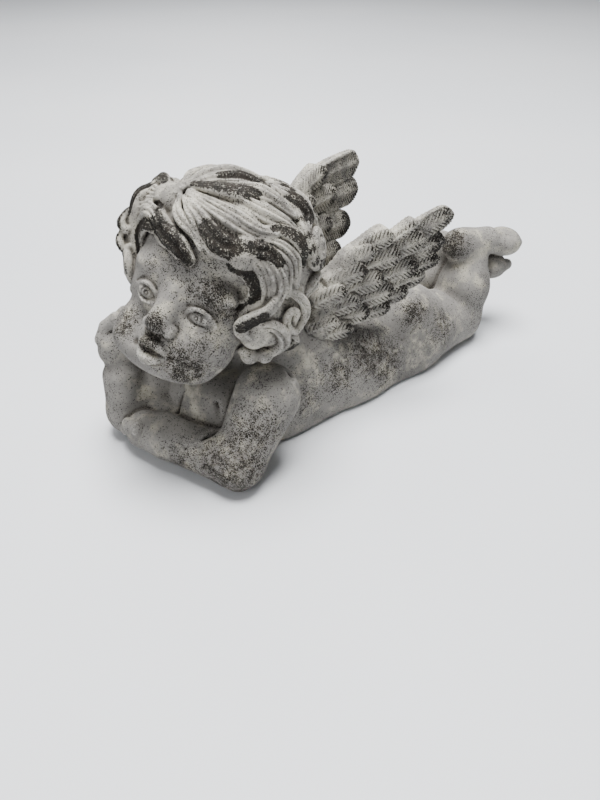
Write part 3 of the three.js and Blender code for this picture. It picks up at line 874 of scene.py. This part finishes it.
class Feather:
    """A leaf-shaped plate with a shaft, barbs and a lifted tip, in the blade's flat axes."""

    def __init__(self, base, tip, half_width, lift, face):
        self.base = np.array(base, float)
        along = np.array(tip, float) - self.base
        self.length = float(np.linalg.norm(along))
        self.along = along / self.length
        self.half_width = half_width
        self.lift = lift
        self.face = face
        reach = half_width * 1.4
        corners = np.array([self.base, np.array(tip, float)])
        tops = (self.face * (lift + 3), self.face * -2)
        self.low = np.append(corners.min(0) - reach, min(tops))
        self.high = np.append(corners.max(0) + reach, max(tops))

    def tip_paint(self, points):
        """How near each point on this feather's face is to its tip, of 0 to 1."""
        u, v = self.flat(points[:, 0], points[:, 1])
        on_face = 1 - step_up(0.8, 1.6, np.abs(self.face * points[:, 2] - self.top(u, v)))
        across = 1 - step_up(0.8, 1.15, np.abs(v) / self.half(u))
        return step_up(0.66, 0.92, u) * on_face * across * (u < 1.05)

    def flat(self, x, y):
        """The share of the way along the feather, and the distance to the side of its shaft."""
        x = x - self.base[0]
        y = y - self.base[1]
        u = (x * self.along[0] + y * self.along[1]) / self.length
        v = y * self.along[0] - x * self.along[1] + 0.1 * self.length * (u * u - u)
        return u, v

    def half(self, u):
        t = np.clip(u, 0, 1)
        return self.half_width * (0.55 + 0.75 * np.sqrt(t) - 0.3 * t)

    def top(self, u, v):
        t = np.clip(u, 0, 1)
        return self.lift * (0.55 + 0.45 * t) + 1.5 * (1 - np.clip(np.abs(v) / self.half(u), 0, 1) ** 2)

    def distance(self, place):
        x, y, z = place
        u, v = self.flat(x, y)
        t = np.clip(u, 0, 1)
        rounding = self.half_width * 1.25 / self.length
        beyond = np.clip((u - 1 + rounding) / rounding, 0, None)
        edge = np.abs(v) / self.half(u)
        outline = (np.sqrt(edge ** 2 + beyond ** 2.2) - 1) * self.half_width
        outline = np.maximum(outline, -u * self.length)
        slant = u * self.length - 0.75 * np.abs(v) - 0.03 * v * v
        barb = 0.5 + 0.5 * np.cos(2 * math.pi * slant / BARB_PITCH)
        shaft = np.exp(-((v / 0.8) ** 2))
        top = self.top(u, v) - BARB_DEPTH * barb * np.clip(edge * 3 - 0.3, 0, 1) + 0.5 * shaft * (1 - 0.7 * t)
        thickness = 2.2 + 1.2 * (1 - t)
        slab = np.maximum(self.face * z - top, np.minimum(top - thickness, -0.6) - self.face * z)
        return smooth_max(outline, slab, 1.0)


def smooth_max(a, b, blend):
    return -smooth_min(-a, -b, blend)


def model_wing(arm, feathers):
    corners = np.array([corner for base, tip, _, _ in feathers for corner in (base, tip)] + arm, float)
    low = (*(corners.min(0) - WING_MARGIN), -WING_DEPTH)
    high = (*(corners.max(0) + WING_MARGIN), WING_DEPTH)
    clay = Clay(low, high, WING_STEP)
    for face in (1, -1):
        for base, tip, half_width, lift in feathers:
            clay.add(Feather(base, tip, half_width, lift, face), 0.2)
    path = through([(x, y, 0) for x, y in arm], ARM_STEPS)
    widths = taper(ARM_STEPS, 9, 7.5, 3.5, 0.4)
    clay.add(Strand(path, widths, taper(ARM_STEPS, 8.2, 6.6, 4, 0.4), vec(0, 0, 1)), 2.0)
    rng = np.random.default_rng(5)
    for face in (1, -1):
        for share in np.linspace(0.45, 0.97, 11):
            start = path[int(share * (ARM_STEPS - 1))] + (-4, 0, face * (7.4 - 4.6 * share))
            sweep = rng.uniform(15, 22) * (1.1 - 0.5 * share)
            middle = start + (sweep * 0.5, -2, face * 0.9)
            end = start + (sweep, -6 + 8 * share, face * -2.2)
            tuft = through([start, middle, end], 9)
            clay.add(Strand(tuft, taper(9, 1.0, 1.8, 0.7), taper(9, 1, 1.4, 0.7), (0, 0, face)), 1.0)
    return clay


def wing_axes(side):
    x = vec(side * WING_SPREAD, 1, 0)
    x /= np.linalg.norm(x)
    up = vec(side * WING_LEAN, 0, 1)
    y = up - (up @ x) * x
    y /= np.linalg.norm(y)
    return np.array([x, y, np.cross(x, y)])


# ---- meshes ----
def new_mesh(name, points, quads, **attributes):
    """points in mm in the figure's axes; attributes are one number a vertex."""
    mesh = bpy.data.meshes.new(name)
    co = (points + OFFSET) * MM
    mesh.vertices.add(len(co))
    mesh.vertices.foreach_set("co", co.astype(np.float32).ravel())
    mesh.loops.add(quads.size)
    mesh.loops.foreach_set("vertex_index", quads.ravel().astype(np.int32))
    mesh.polygons.add(len(quads))
    mesh.polygons.foreach_set("loop_start", (np.arange(len(quads)) * 4).astype(np.int32))
    mesh.polygons.foreach_set("use_smooth", np.ones(len(quads), bool))
    mesh.update(calc_edges=True)
    for key, values in attributes.items():
        layer = mesh.attributes.new(key, "FLOAT", "POINT")
        layer.data.foreach_set("value", np.asarray(values, np.float32))
    mesh.validate()
    obj = bpy.data.objects.new(name, mesh)
    bpy.context.collection.objects.link(obj)
    return obj


def outward(points, quads):
    """The same quads, wound so that they face out."""
    a, b, c = (points[quads[:, i]] for i in (0, 1, 2))
    middle = points.mean(0)
    volume = np.einsum("ij,ij->i", a - middle, np.cross(b - middle, c - middle)).sum()
    return quads if volume > 0 else quads[:, ::-1]


def step_up(low, high, value):
    t = np.clip((value - low) / (high - low), 0, 1)
    return t * t * (3 - 2 * t)


# Places where dark paint was sponged on: centre, radius, strength.
FACE_SPECKLE = [
    ((0, 47, -27), 5, 4.0),  # nose
    ((-1, 45, -35), 4.5, 5.0),  # upper lip
    ((16, 36, -41), 11, 1.9),  # left cheek
    ((22, 34, -32), 16, 0.7),
    ((-20, 34, -38), 9, 1.3),  # right cheek
    ((17, 34, -6), 7, 2.2),  # brows
    ((10, 36, -7), 5, 1.6),
    ((-15, 36, -6), 6, 0.8),
    ((24, 30, -11), 6, 1.4),
    ((0, 37, 6), 20, 0.6),  # forehead
]
BODY_SPECKLE = [
    ((42, -124, 14), 20, 1.7),  # left elbow
    ((20, -136, 8), 15, 1.3),
    ((46, -112, 34), 16, 1.2),  # left upper arm
    ((36, -100, 54), 14, 0.35),
    ((-44, -138, 30), 12, 0.7),  # right forearm
    ((-42, -142, 14), 13, 0.55),
    ((-44, -134, 56), 12, 0.45),
    ((40, -66, 24), 13, 1.0),  # side
    ((38, -40, 30), 15, 1.3),
    ((38, -14, 34), 15, 1.9),
    ((36, -4, 20), 14, 1.3),
    ((36, 24, 46), 10, 2.0),  # buttock and thigh
    ((40, 44, 28), 13, 1.1),
    ((40, 84, 24), 14, 0.55),
    ((38, 96, 44), 11, 0.5),
    ((16, 76, 66), 9, 3.0),  # heels and toes
    ((30, 130, 60), 8, 2.6),
    ((26, 108, 64), 12, 0.45),
    ((-8, 84, 58), 9, 1.2),
    ((-38, 10, 34), 22, 0.8),
    ((-38, 60, 30), 18, 0.8),
    ((-38, -70, 36), 16, 0.7),
    ((-34, -96, 52), 14, 0.5),
    ((0, 22, 52), 14, 0.5),
    ((0, -20, 50), 12, 0.45),
]
SPECKLE = BODY_SPECKLE + [(on_face(centre), *rest) for centre, *rest in FACE_SPECKLE]


def speckle_at(points):
    density = np.full(len(points), 0.12)
    for centre, radius, strength in SPECKLE:
        near2 = ((points - centre) ** 2).sum(1) / radius ** 2
        density = np.maximum(density, strength * np.exp(-near2))
    return density


def brushed(points):
    """How much dark paint the brush left, from the strokes along the locks of hair."""
    paint = np.zeros(len(points))
    near = np.flatnonzero(points[:, 2] > min(centre[2] for centre, _, _ in STROKES) - 10)
    place = points[near]
    for centre, up, radius in STROKES:
        away = place - centre
        share = np.sqrt((away ** 2).sum(1)) / radius
        outside = step_up(-0.2, 0.4, away @ up / radius)
        paint[near] = np.maximum(paint[near], (1 - step_up(0.7, 1.05, share)) * outside)
    return paint


def make_body():
    clay, skin, hair = model_body()
    points, quads = clay.mesh()
    quads = outward(points, quads)
    hairy = step_up(-0.6, 0.6, clay.sample(skin, points) - clay.sample(hair, points))
    fine = clay.sample(clay.relief(2.0), points)
    broad = clay.sample(clay.relief(6.0), points)
    paint = dict(speckle=speckle_at(points), stroke=brushed(points))
    return new_mesh("body_sculpt", points, quads, hair=hairy, fine=fine, broad=broad, **paint)


def make_wing(name, side, arm, feathers):
    clay = model_wing(arm, feathers)
    points, quads = clay.mesh()
    fine = clay.sample(clay.relief(1.6), points)
    broad = clay.sample(clay.relief(5.0), points)
    stroke = np.zeros(len(points))
    rng = np.random.default_rng(3)
    for base, tip, half_width, lift in feathers:
        amount = rng.uniform(0.55, 1.0)
        for face in (1, -1):
            feather = Feather(base, tip, half_width, lift, face)
            stroke = np.maximum(stroke, amount * feather.tip_paint(points))
    world = WING_ROOT * (side, 1, 1) + points @ wing_axes(side)
    quads = outward(world, quads)
    speckle = 0.16 + 0.3 * step_up(25, 80, points[:, 0])
    paint = dict(hair=np.ones(len(points)), speckle=speckle, stroke=stroke)  # as pale as the hair
    return new_mesh(name + "_sculpt", world, quads, fine=fine, broad=broad, **paint)


# ---- materials ----
class Nodes:
    """A small helper that adds nodes to one material."""

    def __init__(self, name):
        self.material = bpy.data.materials.new(name)
        self.material.use_nodes = True
        self.tree = self.material.node_tree
        self.shader = self.tree.nodes["Principled BSDF"]
        self.place = None

    def put(self, socket, value):
        if isinstance(value, bpy.types.NodeSocket):
            self.tree.links.new(value, socket)
        elif value is not None:
            socket.default_value = value

    def add(self, kind, values=(), **settings):
        node = self.tree.nodes.new(kind)
        for key, value in settings.items():
            setattr(node, key, value)
        for key, value in dict(values).items():
            self.put(node.inputs[key], value)
        return node

    def math(self, operation, a, b=None, c=None):
        node = self.add("ShaderNodeMath", operation=operation)
        for socket, value in zip(node.inputs, (a, b, c)):
            self.put(socket, value)
        return node.outputs[0]

    def times(self, a, b):
        return self.math("MULTIPLY", a, b)

    def vary(self, value, noise, strength):
        """The value, raised or lowered by a noise of about one half."""
        return self.math("MULTIPLY_ADD", self.math("SUBTRACT", noise, 0.5), strength, value)

    def ramp(self, value, low, high, to_low=0.0, to_high=1.0):
        names = {"Value": value, "From Min": low, "From Max": high, "To Min": to_low, "To Max": to_high}
        node = self.add("ShaderNodeMapRange", names, interpolation_type="SMOOTHSTEP")
        return node.outputs[0]

    def mix(self, share, a, b):
        node = self.add("ShaderNodeMix", data_type="RGBA")
        self.put(node.inputs[0], share)
        self.put(node.inputs[6], a)
        self.put(node.inputs[7], b)
        return node.outputs[2]

    def object_place(self):
        if self.place is None:
            self.place = self.add("ShaderNodeTexCoord").outputs["Object"]
        return self.place

    def noise(self, scale, detail=3.0, roughness=0.5):
        values = {"Vector": self.object_place(), "Scale": scale, "Detail": detail, "Roughness": roughness}
        return self.add("ShaderNodeTexNoise", values).outputs["Fac"]

    def attribute(self, name):
        return self.add("ShaderNodeAttribute", attribute_name=name).outputs["Fac"]

    def bump(self, height, strength, distance, normal=None):
        values = {"Height": height, "Strength": strength, "Distance": distance, "Normal": normal}
        return self.add("ShaderNodeBump", values).outputs[0]


def fleck_layer(n, density, scale, size):
    """Dots in this share of the cells of a pattern, 1 inside them."""
    cells = n.add("ShaderNodeTexVoronoi", {"Vector": n.object_place(), "Scale": scale})
    chance = n.add("ShaderNodeSeparateColor", {"Color": cells.outputs["Color"]}).outputs
    present = n.math("LESS_THAN", chance[0], density)
    reach = n.math("MULTIPLY_ADD", chance[1], size * 0.6, size * 0.6)
    inside = n.ramp(n.math("SUBTRACT", reach, cells.outputs["Distance"]), -0.03, 0.06)
    return n.times(present, inside)


def stone_paint():
    n = Nodes("stone_paint")
    names = ("hair", "fine", "broad", "speckle", "stroke")
    hair, fine, broad, speckle, stroke = (n.attribute(name) for name in names)
    blotch = n.noise(38, 4, 0.6)
    patch = n.noise(85, 4, 0.65)
    wisp = n.noise(420, 4, 0.7)
    grey = n.mix(n.ramp(blotch, 0.35, 0.65), (0.165, 0.157, 0.146, 1), (0.245, 0.234, 0.216, 1))
    skin = n.mix(n.ramp(patch, 0.48, 0.72), grey, (0.39, 0.366, 0.30, 1))
    white = n.mix(n.ramp(patch, 0.35, 0.68), (0.19, 0.18, 0.163, 1), (0.45, 0.425, 0.36, 1))
    colour = n.mix(n.times(hair, 0.85), skin, white)
    rubbed = n.times(n.ramp(fine, 0.04, 0.3), n.ramp(wisp, 0.4, 0.62))
    colour = n.mix(n.times(rubbed, 0.4), colour, (0.60, 0.58, 0.53, 1))
    # painted shade, with a real dark wash: the colour goes towards a near-black brown in the fine grooves,
    # where the wash is, and in the deep recesses, where the darkening is painted shade
    hollow = n.ramp(fine, -0.02, -0.3)
    deep_recess_shade = n.ramp(broad, -0.5, -2.0)
    groove_wash_and_shade = n.times(n.math("MAXIMUM", hollow, deep_recess_shade), 0.72)
    colour = n.mix(groove_wash_and_shade, colour, (0.06, 0.052, 0.043, 1))
    heavy = n.times(n.ramp(speckle, 0.4, 1.3), n.ramp(wisp, 0.35, 0.7))
    colour = n.mix(n.times(heavy, 0.55), colour, (0.10, 0.08, 0.06, 1))
    bristles = n.vary(n.vary(stroke, wisp, 1.3), n.noise(1300, 3, 0.7), 2.4)
    worn = n.math("MULTIPLY_ADD", n.ramp(fine, 0.1, -0.25), 0.5, bristles)
    painted = n.ramp(worn, 0.55, 0.85)
    uneven = n.ramp(n.noise(160, 3, 0.6), 0.35, 0.7)
    dark = n.mix(uneven, (0.002, 0.0016, 0.0013, 1), (0.013, 0.0095, 0.007, 1))
    colour = n.mix(n.times(painted, 0.96), colour, dark)
    cluster = n.ramp(n.noise(210, 3, 0.7), 0.3, 0.7, 0.25, 1.6)
    density = n.times(n.math("MULTIPLY_ADD", hair, 0.1, speckle), cluster)
    small = fleck_layer(n, n.times(density, 0.62), 2500, 0.62)
    coarse = fleck_layer(n, n.times(n.math("POWER", density, 1.3), 0.42), 1850, 0.6)
    spots = n.math("MAXIMUM", small, coarse)
    colour = n.mix(n.times(spots, 0.94), colour, (0.005, 0.004, 0.003, 1))
    grit = n.ramp(n.noise(2600, 2, 0.7), 0.6, 0.72)
    colour = n.mix(n.times(grit, 0.4), colour, (0.46, 0.445, 0.41, 1))
    n.put(n.shader.inputs["Base Color"], colour)
    n.put(n.shader.inputs["Roughness"], n.ramp(painted, 0, 1, 0.9, 0.7))
    n.shader.inputs["Specular IOR Level"].default_value = 0.08
    pores = n.bump(wisp, 0.35, 0.0006)
    n.put(n.shader.inputs["Normal"], n.bump(n.math("SUBTRACT", 1.0, spots), 0.4, 0.0002, pores))
    return n.material


def plain_finish(name, low, high, scale, roughness, metallic=0.0, bump=0.3):
    """A finish that varies between two colours over a noise of this scale."""
    n = Nodes(name)
    texture = n.noise(scale, 4, 0.65)
    n.put(n.shader.inputs["Base Color"], n.mix(n.ramp(texture, 0.3, 0.7), (*low, 1), (*high, 1)))
    n.put(n.shader.inputs["Roughness"], n.ramp(texture, 0.2, 0.8, roughness - 0.08, roughness + 0.08))
    n.shader.inputs["Metallic"].default_value = metallic
    n.put(n.shader.inputs["Normal"], n.bump(texture, bump, 0.0002))
    return n.material


# ---- the object ----
stone = stone_paint()
body = make_body()
body.data.materials.append(stone)
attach(body, "root")
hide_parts("body_casting")

for node, plan in WINGS.items():
    wing = make_wing(node, *plan)
    wing.data.materials.append(stone)
    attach(wing, "root")
    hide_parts(node)

steel = plain_finish("drawn_steel", (0.35, 0.35, 0.36), (0.55, 0.55, 0.56), 900, 0.35, 1.0, 0.1)
rubber = plain_finish("plug_rubber", (0.018, 0.018, 0.018), (0.035, 0.034, 0.033), 700, 0.75)
felt = plain_finish("pressed_felt", (0.06, 0.045, 0.035), (0.12, 0.095, 0.075), 1500, 0.95, bump=0.8)
NODE_FINISHES = {"wing_pin": steel, "belly_plug": rubber, "elbow_pad": felt, "knee_pad": felt}
for name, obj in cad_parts.items():
    for start, finish in NODE_FINISHES.items():
        if name.startswith(start):
            for material_slot in obj.material_slots:
                material_slot.material = finish


# ---- floor and light ----
def make_floor():
    n = Nodes("studio_floor")
    tone = n.ramp(n.noise(2.5, 2, 0.5), 0.3, 0.7)
    n.put(n.shader.inputs["Base Color"], n.mix(tone, (0.66, 0.68, 0.71, 1), (0.70, 0.715, 0.74, 1)))
    n.shader.inputs["Roughness"].default_value = 0.55
    bpy.ops.mesh.primitive_circle_add(vertices=96, radius=6, fill_type="NGON", location=(0, 0, 0))
    floor = bpy.context.object
    floor.name = "studio_floor"
    floor.data.materials.append(n.material)


def make_light(name, place, target, size, power):
    data = bpy.data.lights.new(name, "AREA")
    data.shape = "DISK"
    data.size = size
    data.energy = power
    light = bpy.data.objects.new(name, data)
    light.location = place
    light.rotation_euler = (Vector(target) - Vector(place)).to_track_quat("-Z", "Y").to_euler()
    bpy.context.collection.objects.link(light)


make_floor()
make_light("overhead", (-0.1, 0.1, 1.5), (0, 0, 0), 0.9, 68)
make_light("from_behind", (-1.3, 0.9, 1.1), (0, 0, 0.06), 1.0, 14)
make_light("from_camera_side", (0.3, -1.3, 1.0), (0, 0, 0.05), 0.9, 7)
world = bpy.data.worlds.new("studio")
world.use_nodes = True
world.node_tree.nodes["Background"].inputs[0].default_value = (0.93, 0.94, 0.95, 1)
world.node_tree.nodes["Background"].inputs[1].default_value = 0.24
bpy.context.scene.world = world
